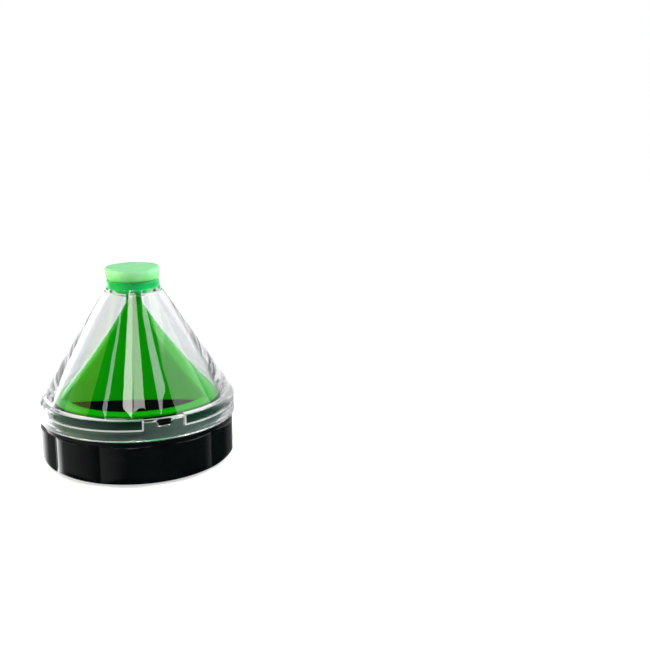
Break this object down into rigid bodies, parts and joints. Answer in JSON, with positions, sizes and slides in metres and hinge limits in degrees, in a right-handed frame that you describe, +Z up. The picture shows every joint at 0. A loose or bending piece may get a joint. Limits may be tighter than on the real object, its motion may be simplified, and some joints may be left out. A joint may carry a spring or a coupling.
{
  "type": "twist pill crusher",
  "caption": "Round twist crusher: a lobed grip cup and a toothed sieve plate under a clear pouring hood that holds a loose funnel insert, closed by a soft stopper.",
  "frame": {"origin": "centre of the grip cup's flat underside", "axes": "+Z up along the axis about which the crusher twists, -Y towards the flat front face of the funnel insert, +X to the right seen from the front"},
  "size_m": [0.07, 0.07, 0.07],
  "materials": {
    "black_plastic": "smooth moulded, glossy",
    "green_plastic": "smooth moulded, glossy, slightly translucent",
    "clear_plastic": "clear polished moulding",
    "mint_rubber": "soft satin silicone"
  },
  "bodies": {
    "grip_cup": {"grip_cup": "black_plastic"},
    "crusher_plate": {"crusher_plate": "black_plastic"},
    "funnel_insert": {"funnel_insert": "green_plastic"},
    "hood": {"hood": "clear_plastic"},
    "stopper": {"stopper": "mint_rubber"}
  },
  "joints": [
    {"name": "twist", "type": "hinge", "parent": "grip_cup", "child": "crusher_plate", "pos_m": [0, 0, 0.0166], "axis": [0, 0, 1], "continuous": true},
    {"name": "insert_turn", "type": "hinge", "parent": "crusher_plate", "child": "funnel_insert", "pos_m": [0, 0, 0.0224], "axis": [0, 0, 1], "continuous": true},
    {"name": "hood_lift", "type": "slide", "parent": "crusher_plate", "child": "hood", "axis": [0, 0, 1], "range_m": [0, 0.05]},
    {"name": "stopper_pull", "type": "slide", "parent": "hood", "child": "stopper", "axis": [0, 0, 1], "range_m": [0, 0.01]}
  ]
}
